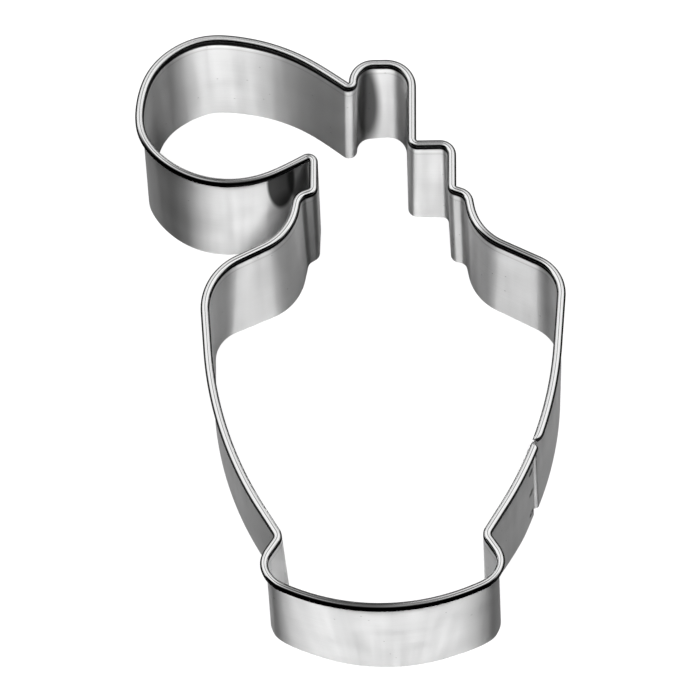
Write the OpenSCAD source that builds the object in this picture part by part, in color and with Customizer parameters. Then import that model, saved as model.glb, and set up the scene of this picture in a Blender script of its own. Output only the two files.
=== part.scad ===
// Cookie cutter in the shape of a perfume bottle with a squeeze bulb.
// One strip of thin sheet stands on edge and follows the outline of the bottle.
// Its top edge is rolled outwards into a hollow round rim. Its two ends overlap on
// the right side of the bottle: the end that comes from the shoulder steps inwards
// behind the end that comes from the foot, and three spot welds join them.
// X runs across the bottle, Y from its foot to its cap, and Z from the cutting edge
// up to the rim. The origin is the middle of the outer size, on the cutting edge.
// Widths and levels belong to the middle of the sheet, at the points where the
// straight runs on both sides of a bend would meet. Lengths are in millimetres.

/* [Strip] */
// Height from the cutting edge to the top of the rim
strip_h = 25; // [18:0.5:40]
// Thickness of the sheet
sheet_t = 0.3; // [0.25:0.05:0.35]
// Diameter over the rolled rim
rim_d = 1.3; // [1.2:0.05:1.3]
// Angle of the rolled rim, from the wall's top edge to its free lip
rim_curl = 290; // [250:5:290]

/* [Foot] */
// Width of the foot at its corners
foot_w = 36.2; // [35.6:0.2:37]
// Level of the foot's corners above the tip of its bottom
foot_level = 8.4; // [8.2:0.05:8.6]
// Bend radius of the foot's corners
foot_r = 2.9; // [2:0.1:3.2]
// Bend radius of the bowed bottom
base_r = 33; // [20:1:34]
// Width of the waist between foot and body
waist_w = 28.8; // [28.2:0.2:29.4]
// Level of the waist
waist_level = 14.05; // [13.8:0.05:14.3]
// Bend radius of the waist
waist_r = 1.8; // [1.3:0.1:2.4]

/* [Body] */
// Width at the middle of the bowed sides
side_w = 48.4; // [47:0.2:50]
// Level of the middle of the bowed sides
side_level = 30.3; // [29:0.1:32]
// Bend radius of the bowed sides
side_r = 57; // [45:1:60]
// Width of the shoulders at their corners
shoulder_w = 52.2; // [51:0.2:54]
// Level of the shoulder corners
shoulder_level = 55.5; // [54:0.1:57]
// Bend radius of the shoulder corners
shoulder_r = 7.5; // [5:0.5:8.5]
// Width where the shoulders turn up into the neck
ramp_w = 26.6; // [26:0.2:27.4]
// Level where the shoulders turn up into the neck
ramp_level = 61.95; // [61.5:0.05:62.3]
// Bend radius between shoulder and neck
ramp_r = 9; // [6:0.5:9.5]

/* [Neck ring and collar] */
// Width of the ring under the collar
ring_w = 24.4; // [24:0.1:25]
// Level of the ring's corners
ring_level = 68.2; // [68:0.05:68.6]
// Bend radius of the ring's corners
ring_r = 1.5; // [1.2:0.1:1.8]
// Level where the ring meets the collar
ring_top_level = 69.05; // [68.9:0.05:69.4]
// Bend radius where the ring meets the collar
ring_root_r = 1.3; // [1.2:0.05:1.5]
// Width of the collar
collar_w = 19.6; // [19:0.1:20]
// Level of the collar's top
collar_level = 76.35; // [75.5:0.05:77]
// Bend radius of the collar's corners
collar_r = 1.3; // [1.2:0.05:1.5]

/* [Cap] */
// Width of the cap
cap_w = 7.7; // [7.5:0.1:7.8]
// Level of the cap's top
cap_level = 89.85; // [89.8:0.05:91]
// Bend radius of the cap's right top corner
cap_r_right = 3.4; // [2:0.1:3.5]
// Bend radius of the cap's left top corner
cap_r_left = 2.5; // [1.5:0.1:2.6]
// Bend radius where the cap stands on the collar
cap_root_r = 1.4; // [1.2:0.1:2]

/* [Bulb] */
// Distance of the crease between bulb and cap from the bottle's axis
crease_x = 4; // [3.9:0.05:4.2]
// Level of the crease between bulb and cap
crease_level = 85; // [84.5:0.05:85]
// Bend radius of the crease
crease_r = 1.2; // [1.2:0.05:1.25]
// Distance of the bulb's upper flank from the bottle's axis
flank_x = 15.1; // [14.5:0.1:16]
// Level of the bulb's upper flank
flank_level = 93.2; // [92.8:0.1:93.4]
// Bend radius of the bulb's upper flank
flank_r = 28; // [15:1:30]
// Distance of the bulb's crown from the bottle's axis
crown_x = 27; // [26.5:0.1:27.5]
// Level of the bulb's crown
crown_level = 94.9; // [94.6:0.1:95.2]
// Bend radius of the bulb's crown
crown_r = 9; // [5:0.5:10]
// Distance of the bulb's outer shoulder from the bottle's axis
outer_x = 35.1; // [34.8:0.1:35.6]
// Level of the bulb's outer shoulder
outer_level = 90.4; // [90:0.1:90.8]
// Bend radius of the bulb's outer shoulder
outer_r = 10; // [6:0.5:10.5]
// Distance of the bulb's far end from the bottle's axis
end_x = 36.4; // [36:0.1:36.8]
// Level of the bulb's far end
end_level = 79.2; // [79:0.1:79.6]
// Bend radius of the bulb's far end
end_r = 7.5; // [5:0.1:7.7]
// Distance of the bulb's underside from the bottle's axis
belly_x = 25.8; // [25.4:0.1:26]
// Level of the bulb's underside
belly_level = 67.4; // [67:0.1:67.6]
// Bend radius of the bulb's underside
belly_r = 15; // [10:0.1:15.4]

/* [Lapped seam] */
// Distance of the seam along the bowed side, from the start of its bend near the foot
seam_at = 10.8; // [8:0.1:14]
// Overlap of the two ends of the strip
lap = 4.6; // [4:0.1:6]
// Clearance between the lapped ends
lap_gap = 0.05; // [0.04:0.01:0.08]
// Distance over which the inner end steps inwards
joggle = 0.6; // [0.5:0.1:1.2]
// Distance between the outer end and the start of the step
joggle_from = 0.45; // [0.45:0.05:0.8]
// Gap between the two ends of the rim
rim_gap = 0.4; // [0.3:0.05:0.4]
// Height left free between the rim and the inner end's top edge
notch = 0.5; // [0.3:0.1:1]
// Number of spot welds
weld_count = 3; // [2:1:4]
// Diameter of a weld nugget
weld_d = 1.5; // [1:0.1:2]
// Distance of the welds from the outer end's edge
weld_inset = 1.3; // [1.2:0.1:1.9]
// Height of the lowest weld above the cutting edge
weld_first = 2.6; // [2:0.1:4]
// Height of the highest weld above the cutting edge
weld_last = 16.8; // [12:0.1:17.8]
// Depth of the dish that the electrode leaves in each face of a weld
weld_dish = 0.05; // [0.03:0.01:0.08]

/* [Hidden] */
// Largest distance between a bend and its facets
bend_tol = 0.03;
// Largest angle of one facet of a bend
bend_step = 18;
// Steps around the rim's section
curl_steps = 9;

half_t = sheet_t / 2;
rim_r = rim_d / 2;
// Height of the wall's top edge, where the sheet starts to roll
wall_h = strip_h - rim_r;
// Height of the inner end's top edge
tongue_h = strip_h - rim_d - notch;
// How far the inner end lies behind the outline
step_in = sheet_t + lap_gap;
// How far the rim stands out from the middle of the sheet
rim_out = rim_d - half_t;

function unit(v) = v / norm(v);
function left_of(v) = [-v[1], v[0]];
function cross2(a, b) = a[0] * b[1] - a[1] * b[0];
function wrap(list, i) = list[(i + len(list)) % len(list)];
function xy(c) = [c[0], c[1]];
function mirrored(list) = [for (i = [len(list) - 1:-1:0]) [-list[i][0], list[i][1], list[i][2]]];
function polar(centre, r, a) = centre + r * [cos(a), sin(a)];

// Corners of the right side of the foot, from the bottom up, with their bend radii.
foot_side = [
    [foot_w / 2, foot_level, foot_r],
    [waist_w / 2, waist_level, waist_r]
];
// Corners of the right side of the body and neck.
body_side = [
    [shoulder_w / 2, shoulder_level, shoulder_r],
    [ramp_w / 2, ramp_level, ramp_r],
    [ring_w / 2, ring_level, ring_r],
    [collar_w / 2, ring_top_level, ring_root_r]
];
side_corner = [side_w / 2, side_level, side_r];
collar_corner = [collar_w / 2, collar_level, collar_r];

// Corners of the whole outline, anticlockwise, starting at the bowed right side.
corners = concat(
    [side_corner],
    body_side,
    [collar_corner],
    [
        [cap_w / 2, collar_level, cap_root_r],
        [cap_w / 2, cap_level, cap_r_right],
        [-cap_w / 2, cap_level, cap_r_left],
        [-crease_x, crease_level, crease_r],
        [-flank_x, flank_level, flank_r],
        [-crown_x, crown_level, crown_r],
        [-outer_x, outer_level, outer_r],
        [-end_x, end_level, end_r],
        [-belly_x, belly_level, belly_r]
    ],
    mirrored([collar_corner]),
    mirrored(body_side),
    mirrored([side_corner]),
    mirrored(foot_side),
    [[0, 0, base_r]],
    foot_side
);
corner_count = len(corners);

// Directions of travel before and after a corner, and the angle turned there.
function dir_in(i) = unit(xy(wrap(corners, i)) - xy(wrap(corners, i - 1)));
function dir_out(i) = dir_in(i + 1);
function turn(i) = atan2(cross2(dir_in(i), dir_out(i)), dir_in(i) * dir_out(i));
// Length of straight run that the bend takes on each side of its corner.
function reach(i) = wrap(corners, i)[2] * tan(abs(turn(i)) / 2);
function side_of(i) = turn(i) >= 0 ? 1 : -1;
function bend_start(i) = xy(wrap(corners, i)) - dir_in(i) * reach(i);
function bend_centre(i) = bend_start(i) + left_of(dir_in(i)) * side_of(i) * wrap(corners, i)[2];
// Angle at which the bend's first point lies, seen from its centre.
function start_angle(i) = atan2(dir_in(i)[1], dir_in(i)[0]) - 90 * side_of(i);
function facet_angle(r) = min(bend_step, 2 * acos(1 - bend_tol / r));
function facets(i) = ceil(abs(turn(i)) / facet_angle(wrap(corners, i)[2]));
function bend_points(i) = [
    for (k = [0:facets(i)])
        polar(bend_centre(i), wrap(corners, i)[2], start_angle(i) + turn(i) * k / facets(i))
];

// What is left of each straight run between its two bends, and the room that the rim
// has on the inside of a bend that turns towards it.
spare_runs = [
    for (i = [0:corner_count - 1])
        let (run = norm(xy(wrap(corners, i + 1)) - xy(wrap(corners, i))) - reach(i) - reach(i + 1))
        assert(run > 0, str("bends overlap after corner ", i))
        run
];
spare_bends = [
    for (i = [0:corner_count - 1])
        let (room = wrap(corners, i)[2] - rim_out)
        assert(side_of(i) > 0 || room > 0, str("bend too tight for the rim at corner ", i))
        room
];

// Angles on the bowed right side, seen from the centre of its bend.
side_centre = bend_centre(0);
side_from = start_angle(0);
side_to = side_from + turn(0);
function along_side(mm) = mm / side_r * 180 / PI;
// End of the outer, foot-side sheet.
seam_angle = side_from + along_side(seam_at);
function seam_plus(mm) = seam_angle + along_side(mm);
function on_side(angle, inwards = 0) = polar(side_centre, side_r - inwards, angle);
joggle_end = seam_plus(joggle_from + joggle);

// The side's bend below the seam. One facet is centred on the welds.
low_steps = ceil((seam_plus(-lap) - side_from) / facet_angle(side_r));
low_side = concat(
    [for (k = [0:low_steps]) on_side(side_from + (seam_plus(-lap) - side_from) * k / low_steps)],
    [on_side(seam_plus(-2 * weld_inset)), on_side(seam_angle)]
);
// The side's bend above the seam.
high_steps = ceil((side_to - joggle_end) / facet_angle(side_r));
high_side = [for (k = [0:high_steps]) on_side(joggle_end + (side_to - joggle_end) * k / high_steps)];
// All the other bends, from the shoulder round to the waist.
round_trip = [for (i = [1:corner_count - 1]) each bend_points(i)];

// Middle of the inner, shoulder-side end, up to the point where the step ends.
tongue = [
    on_side(seam_plus(-lap), step_in),
    on_side(seam_plus(-2 * weld_inset), step_in),
    on_side(seam_angle, step_in),
    on_side(seam_plus(joggle_from), step_in)
];
outline = concat(high_side, round_trip, low_side);
wall_path = concat(tongue, outline);
rim_path = concat([on_side(seam_plus(rim_gap))], outline);

// The rim stands out on all sides of the outline; the part is centred by its size.
path_x = [for (p = outline) p[0]];
path_y = [for (p = outline) p[1]];
centre = [(min(path_x) + max(path_x)) / 2, (min(path_y) + max(path_y)) / 2];

// Offset direction at a point of an open path: to its right, and longer at a bend,
// so that both faces of the sheet stay parallel.
function run_dir(path, i) = unit(path[i + 1] - path[i]);
function right_of(v) = [v[1], -v[0]];
function miter(path, i) =
    i == 0 ? right_of(run_dir(path, 0)) :
    i == len(path) - 1 ? right_of(run_dir(path, i - 1)) :
    let (
        a = right_of(run_dir(path, i - 1)),
        b = right_of(run_dir(path, i)),
        m = unit(a + b)
    )
    m / (m * a);
function shifted(path, d) = [for (i = [0:len(path) - 1]) path[i] + d * miter(path, i)];
function reversed(list) = [for (i = [len(list) - 1:-1:0]) list[i]];
// Closed outline of a sheet of the strip's thickness around an open path.
function band(path) = concat(shifted(path, half_t), reversed(shifted(path, -half_t)));

// Heights and axis of the spot welds.
weld_angle = seam_plus(-weld_inset);
weld_pitch = (weld_last - weld_first) / (weld_count - 1);
// Middle of the two lapped sheets on the weld's facet.
weld_mid = (on_side(seam_angle, step_in / 2) + on_side(seam_plus(-2 * weld_inset), step_in / 2)) / 2;
weld_len = 2 * sheet_t + lap_gap;
dish_d = 0.8 * weld_d;
dish_r = (dish_d * dish_d / 4 + weld_dish * weld_dish) / (2 * weld_dish);

// Puts its children at every weld, with Z along the weld, away from the bottle.
module at_welds() {
    for (k = [0:weld_count - 1])
        translate([weld_mid[0], weld_mid[1], weld_first + k * weld_pitch])
            rotate([0, 90, weld_angle])
                children();
}

// Space above the inner end, from inside the outline to halfway through the clearance
// and, past the outer end, right through the strip.
module tongue_cut() {
    near = seam_plus(-lap - 1);
    past = seam_plus(rim_gap / 2);
    deep = side_r * 0.02;
    slit = sheet_t / 2 + lap_gap / 2;
    translate([0, 0, tongue_h])
        linear_extrude(height = strip_h)
            polygon([
                on_side(near, deep),
                on_side(joggle_end, deep),
                on_side(joggle_end, -deep),
                on_side(past, -deep),
                on_side(past, slit),
                on_side(seam_angle, slit),
                on_side(seam_plus(-2 * weld_inset), slit),
                on_side(seam_plus(-lap), slit),
                on_side(near, slit)
            ]);
}

// Upright wall of the strip: the cutting edge is its lower edge.
module cutter_wall() {
    color("#B4B6B8")
        translate([-centre[0], -centre[1], 0])
            difference() {
                linear_extrude(height = wall_h)
                    polygon(band(wall_path));
                tongue_cut();
                at_welds()
                    cylinder(d = weld_d, h = 4 * weld_len, center = true, $fn = 48);
            }
}

// Section of the rim: distance outwards and height of each point, round the outer
// face from the wall's inner face to the lip, and back along the inner face.
rim_mid = rim_r - half_t;
function curl_point(r, k) =
    let (a = 180 - rim_curl * k / curl_steps)
    [rim_mid + r * cos(a), wall_h + r * sin(a)];
curl_section = concat(
    [for (k = [0:curl_steps]) curl_point(rim_r, k)],
    [for (k = [curl_steps:-1:0]) curl_point(rim_r - sheet_t, k)]
);

// Carries a closed section along an open path. The section's halves mirror each
// other's order, so that its two end faces split into a row of four-sided faces.
module swept(path, section) {
    n = len(path);
    m = len(section);
    points = [
        for (i = [0:n - 1])
            let (out = miter(path, i))
            for (s = section)
                [path[i][0] + s[0] * out[0], path[i][1] + s[0] * out[1], s[1]]
    ];
    sides = [
        for (i = [0:n - 2])
            for (j = [0:m - 1])
                let (
                    a = i * m + j,
                    b = i * m + (j + 1) % m,
                    c = (i + 1) * m + (j + 1) % m,
                    d = (i + 1) * m + j
                )
                each [[a, c, b], [a, d, c]]
    ];
    first_end = [for (j = [0:m / 2 - 2]) each [[j, j + 1, m - 2 - j], [j, m - 2 - j, m - 1 - j]]];
    last = (n - 1) * m;
    last_end = [
        for (j = [0:m / 2 - 2])
            each [
                [last + j, last + m - 2 - j, last + j + 1],
                [last + j, last + m - 1 - j, last + m - 2 - j]
            ]
    ];
    polyhedron(points = points, faces = concat(sides, first_end, last_end), convexity = 10);
}

// Rolled rim on the wall's top edge.
module rolled_rim() {
    color("#D2D4D6")
        translate([-centre[0], -centre[1], 0])
            swept(rim_path, curl_section);
}

// Weld nuggets with a shallow dish in both ends.
module spot_welds() {
    color("#8E9092")
        translate([-centre[0], -centre[1], 0])
            at_welds()
                difference() {
                    cylinder(d = weld_d, h = weld_len, center = true, $fn = 48);
                    for (side = [-1, 1])
                        translate([0, 0, side * (weld_len / 2 + dish_r - weld_dish)])
                            sphere(r = dish_r, $fn = 96);
                }
}

cutter_wall();
rolled_rim();
spot_welds();
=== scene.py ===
import bisect
import logging
import math
from dataclasses import dataclass, field, replace
from enum import Enum
from typing import Any, Optional, Sequence

import bmesh
import bpy
from mathutils import Matrix, Vector


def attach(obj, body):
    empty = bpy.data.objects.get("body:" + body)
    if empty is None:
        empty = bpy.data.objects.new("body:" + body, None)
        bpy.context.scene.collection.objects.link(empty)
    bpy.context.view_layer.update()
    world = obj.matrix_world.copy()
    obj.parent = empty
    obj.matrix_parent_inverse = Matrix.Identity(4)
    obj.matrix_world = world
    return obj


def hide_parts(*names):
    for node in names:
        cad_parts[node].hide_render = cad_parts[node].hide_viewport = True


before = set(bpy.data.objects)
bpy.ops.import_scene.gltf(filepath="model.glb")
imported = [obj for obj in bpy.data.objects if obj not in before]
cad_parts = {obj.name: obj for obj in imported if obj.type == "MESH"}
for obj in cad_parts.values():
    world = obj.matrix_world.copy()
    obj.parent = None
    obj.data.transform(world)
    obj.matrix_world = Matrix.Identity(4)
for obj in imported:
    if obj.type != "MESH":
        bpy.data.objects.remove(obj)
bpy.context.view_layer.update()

BODY = "root"
MM = 0.001
TINY = 1e-9
STRIP_UV = "StripUV"
Triple = tuple[float, float, float]

log = logging.getLogger("cutter")


class Part(Enum):
    """The three nodes of the cutter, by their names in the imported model."""

    WALL = "cutter_wall"
    RIM = "rolled_rim"
    WELDS = "spot_welds"


# ---------------------------------------------------------------------------
# Small helpers for plane geometry
# ---------------------------------------------------------------------------


def left_of(v: Vector) -> Vector:
    """A plane vector turned a quarter turn anticlockwise."""
    return Vector((-v.y, v.x))


def right_of(v: Vector) -> Vector:
    """A plane vector turned a quarter turn clockwise."""
    return Vector((v.y, -v.x))


def smooth_step(x: float) -> float:
    """Ease from 0 to 1 as x goes from 0 to 1, level at both ends."""
    x = min(max(x, 0.0), 1.0)
    return x * x * (3.0 - 2.0 * x)


@dataclass(frozen=True)
class Corner:
    """A bend of the strip, at the point where its two straight runs would meet.

    The set is how far the free lower edge stands off from the rim's outline at this
    bend, because thin sheet springs where no rolled rim holds it. The spring is the
    free edge's bending radius as a share of the rim's. The bead is the rim's width
    in the middle of the bend, as a share of its full width.
    """

    x: float
    level: float
    radius: float
    set_x: float = 0.0
    set_y: float = 0.0
    bead: float = 1.0
    spring: float = 0.9

    def top(self) -> Vector:
        """Place of the corner in the rim's outline."""
        return Vector((self.x, self.level))

    def edge(self) -> Vector:
        """Place of the corner in the free lower edge."""
        return Vector((self.x + self.set_x, self.level + self.set_y))


@dataclass(frozen=True)
class Arc:
    """One bend of an outline as a part of a circle."""

    centre: Vector
    radius: float
    start: float
    turn: float

    @classmethod
    def between(cls, before: Vector, at: Vector, after: Vector, radius: float) -> "Arc":
        """Fit a bend of a given radius into a corner.

        Args:
            before: the corner before this one.
            at: this corner.
            after: the corner after this one.
            radius: the bend's radius.

        Returns:
            The arc that touches both straight runs.
        """
        into = (at - before).normalized()
        out = (after - at).normalized()
        turn = math.atan2(into.x * out.y - into.y * out.x, into.dot(out))
        hand = 1.0 if turn >= 0.0 else -1.0
        reach = radius * math.tan(abs(turn) / 2.0)
        first = at - into * reach
        centre = first + left_of(into) * hand * radius
        start = math.atan2(first.y - centre.y, first.x - centre.x)
        return cls(centre, radius, start, turn)

    def at(self, share: float, inwards: float = 0.0) -> Vector:
        """Find a point of the bend.

        Args:
            share: the share of the bend that lies before the point.
            inwards: how far the point is moved towards the outline's inside.

        Returns:
            The point.
        """
        hand = 1.0 if self.turn >= 0.0 else -1.0
        angle = self.start + self.turn * share
        reach = self.radius - inwards * hand
        return self.centre + Vector((math.cos(angle), math.sin(angle))) * reach

    def length(self) -> float:
        """Length of the bend along the middle of the sheet."""
        return abs(self.turn) * self.radius


@dataclass
class Station:
    """One place along the strip, in the rim's outline and in the free edge's.

    It also holds the outward direction there, the running length, and the shares of
    the full size that the wall's height and the rim's width and rise have there.
    """

    top: Vector
    edge: Vector
    out: Vector = field(default_factory=lambda: Vector((0.0, 0.0)))
    along: float = 0.0
    height: float = 1.0
    bead: float = 1.0
    rise: float = 1.0


# ---------------------------------------------------------------------------
# Outline of the bottle
# ---------------------------------------------------------------------------


@dataclass
class Outline:
    """Outline of the bottle with its squeeze bulb, in millimetres.

    The widths, levels and radii are those of the cutter's source, apart from the two
    shoulders' radii, which are 7.5 there and differ here as bent by hand. Levels are
    measured up the bottle from the lowest corner of its foot.
    """

    foot_w: float = 36.2
    foot_level: float = 8.4
    foot_r: float = 2.9
    base_r: float = 33.0
    waist_w: float = 28.8
    waist_level: float = 14.05
    waist_r: float = 1.8
    side_w: float = 48.4
    side_level: float = 30.3
    side_r: float = 57.0
    shoulder_w: float = 52.2
    shoulder_level: float = 55.5
    shoulder_r_right: float = 5.5
    shoulder_r_left: float = 8.2
    ramp_w: float = 26.6
    ramp_level: float = 61.95
    ramp_r: float = 9.0
    ring_w: float = 24.4
    ring_level: float = 68.2
    ring_r: float = 1.5
    collar_w: float = 19.6
    ring_top_level: float = 69.05
    ring_root_r: float = 1.3
    collar_level: float = 76.35
    collar_r: float = 1.3
    cap_w: float = 7.7
    cap_level: float = 89.85
    cap_root_r: float = 1.4
    cap_r_right: float = 3.4
    cap_r_left: float = 2.5
    crease_x: float = -4.0
    crease_level: float = 85.0
    crease_r: float = 1.2
    # Longest steps: the angle and the length of a bend's facet, and a straight's.
    facet_angle: float = math.radians(4.0)
    facet: float = 0.7
    run_step: float = 0.8
    # The bulb lies above and to the left of these two.
    bulb_floor: float = 66.0
    bulb_right: float = -4.5
    # Where bends run into each other: by how far, how near to a tight bend and how
    # high above the foot's corners that ends, and the length over which it fades.
    bulb_ease: float = 2.8
    foot_ease: float = 1.6
    tight_clear: float = 2.5
    foot_clear: float = 2.8
    ease_fade: float = 3.0
    ease_parts: int = 8

    def corners(self) -> list[Corner]:
        """All bends, anticlockwise from the bowed right side.

        Returns:
            The corners with the set that the free edge has at each of them.
        """
        side, shoulder = self.side_w / 2, self.shoulder_w / 2
        ramp, ring, collar = self.ramp_w / 2, self.ring_w / 2, self.collar_w / 2
        cap, foot, waist = self.cap_w / 2, self.foot_w / 2, self.waist_w / 2
        return [
            Corner(side, self.side_level, self.side_r, 1.05, -0.05),
            Corner(
                shoulder, self.shoulder_level, self.shoulder_r_right, 0.1, 0.0,
                spring=1.2,
            ),
            Corner(ramp, self.ramp_level, self.ramp_r, -0.1, 0.6),
            Corner(ring, self.ring_level, self.ring_r, -0.15, 0.25),
            Corner(collar, self.ring_top_level, self.ring_root_r),
            Corner(collar, self.collar_level, self.collar_r, -0.4, 0.05),
            Corner(cap, self.collar_level, self.cap_root_r, -0.55, 0.25),
            Corner(cap, self.cap_level, self.cap_r_right, -0.85, 0.5),
            Corner(-cap, self.cap_level, self.cap_r_left, -1.0, -0.1),
            Corner(self.crease_x, self.crease_level, self.crease_r, -0.9, 0.5),
            # The bulb's own bends, from the crease down to the collar.
            Corner(-15.1, 93.2, 28.0, -0.05, 0.3),
            Corner(-27.0, 94.9, 9.0, -0.3, 0.3),
            Corner(-35.1, 90.4, 10.0, 0.25, 0.6),
            Corner(-36.4, 79.2, 7.5, -0.85, -0.75),
            Corner(-25.8, 67.4, 15.0, -0.85, -0.65),
            Corner(-collar, self.collar_level, self.collar_r, -0.5, 0.2),
            Corner(-collar, self.ring_top_level, self.ring_root_r, -0.7, 0.8),
            Corner(-ring, self.ring_level, self.ring_r, 0.05, 0.6),
            Corner(-ramp, self.ramp_level, self.ramp_r, -0.25, -0.25),
            Corner(
                -shoulder, self.shoulder_level, self.shoulder_r_left, -0.15, 0.65,
                spring=0.62,
            ),
            Corner(-side, self.side_level, self.side_r, -1.5, 0.0),
            Corner(-waist, self.waist_level, self.waist_r, 0.3, 0.45),
            Corner(-foot, self.foot_level, self.foot_r, -2.4, 0.35, 0.9, 1.2),
            Corner(0.0, 0.0, self.base_r, -0.4, 1.3),
            Corner(foot, self.foot_level, self.foot_r, 1.3, -0.35, 0.9, 1.2),
            Corner(waist, self.waist_level, self.waist_r, -0.25, -0.25),
        ]

    def arcs(self) -> list[tuple[Arc, Arc]]:
        """Fit each bend into its corner.

        Returns:
            Each bend twice: in the rim's outline and in the free edge's outline.
        """
        corners = self.corners()
        pairs = []
        for i, corner in enumerate(corners):
            before, after = corners[i - 1], corners[(i + 1) % len(corners)]
            top = Arc.between(before.top(), corner.top(), after.top(), corner.radius)
            edge = Arc.between(
                before.edge(), corner.edge(), after.edge(),
                corner.radius * corner.spring,
            )
            pairs.append((top, edge))
        return pairs

    def facets(self, arc: Arc) -> int:
        """Number of facets for a bend."""
        angle = min(self.facet_angle, self.facet / arc.radius)
        return max(2, math.ceil(abs(arc.turn) / angle))

    def round_trip(self) -> list[Station]:
        """Walk the outline but for the right side, in which the seam lies.

        Returns:
            The stations from the end of the right side's bend round to its start.
        """
        corners, arcs = self.corners(), self.arcs()
        stations: list[Station] = []
        last_top, last_edge = arcs[0][0].at(1.0), arcs[0][1].at(1.0)
        for i in list(range(1, len(corners))) + [0]:
            top, edge = arcs[i]
            first_top, first_edge = top.at(0.0), edge.at(0.0)
            count = max(2, math.ceil((first_top - last_top).length / self.run_step))
            for k in range(1, count):
                share = k / count
                stations.append(Station(
                    last_top.lerp(first_top, share), last_edge.lerp(first_edge, share)
                ))
            if i == 0:
                break
            facets = self.facets(top)
            for k in range(facets + 1):
                share = k / facets
                squeeze = math.sin(math.pi * share) ** 0.5
                bead = 1.0 + (corners[i].bead - 1.0) * squeeze
                stations.append(Station(top.at(share), edge.at(share), bead=bead))
            last_top, last_edge = top.at(1.0), edge.at(1.0)
        return stations

    def side(self) -> tuple[Arc, Arc]:
        """The bowed right side, in which the seam lies."""
        return self.arcs()[0]

    def softness(self, at: Vector) -> float:
        """How far bends run into each other at a place, in millimetres.

        Args:
            at: the place in the rim's outline.

        Returns:
            Half the length over which the outline is eased there: most in the bulb,
            less in the foot and none at the tight bends.
        """
        if at.y > self.bulb_floor and at.x < self.bulb_right:
            tight = (
                Vector((self.crease_x, self.crease_level)),
                Vector((-self.collar_w / 2, self.collar_level)),
                Vector((-self.ring_w / 2, self.ring_level)),
            )
            away = min((at - corner).length for corner in tight) - self.tight_clear
            return self.bulb_ease * smooth_step(away / self.ease_fade)
        above = self.foot_level + self.foot_clear - at.y
        return self.foot_ease * smooth_step(above / self.ease_fade)

    def softened(self, stations: list[Station]) -> list[Station]:
        """Ease the bulb's and the foot's bends into each other, as bent by hand.

        Args:
            stations: the outline's stations in order.

        Returns:
            New stations, each the mean of the outline over a short length around it.
        """
        marks = [0.0]
        for before, after in zip(stations, stations[1:]):
            marks.append(marks[-1] + (after.top - before.top).length)
        eased = []
        for mark, station in zip(marks, stations):
            reach = self.softness(station.top)
            if reach <= 0.0:
                eased.append(station)
                continue
            top, edge = Vector((0.0, 0.0)), Vector((0.0, 0.0))
            for k in range(-self.ease_parts, self.ease_parts + 1):
                place = min(max(mark + reach * k / self.ease_parts, 0.0), marks[-1])
                after = min(max(bisect.bisect_left(marks, place), 1), len(marks) - 1)
                run = max(marks[after] - marks[after - 1], TINY)
                share = (place - marks[after - 1]) / run
                top += stations[after - 1].top.lerp(stations[after].top, share)
                edge += stations[after - 1].edge.lerp(stations[after].edge, share)
            count = 2 * self.ease_parts + 1
            eased.append(replace(station, top=top / count, edge=edge / count))
        return eased


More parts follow.
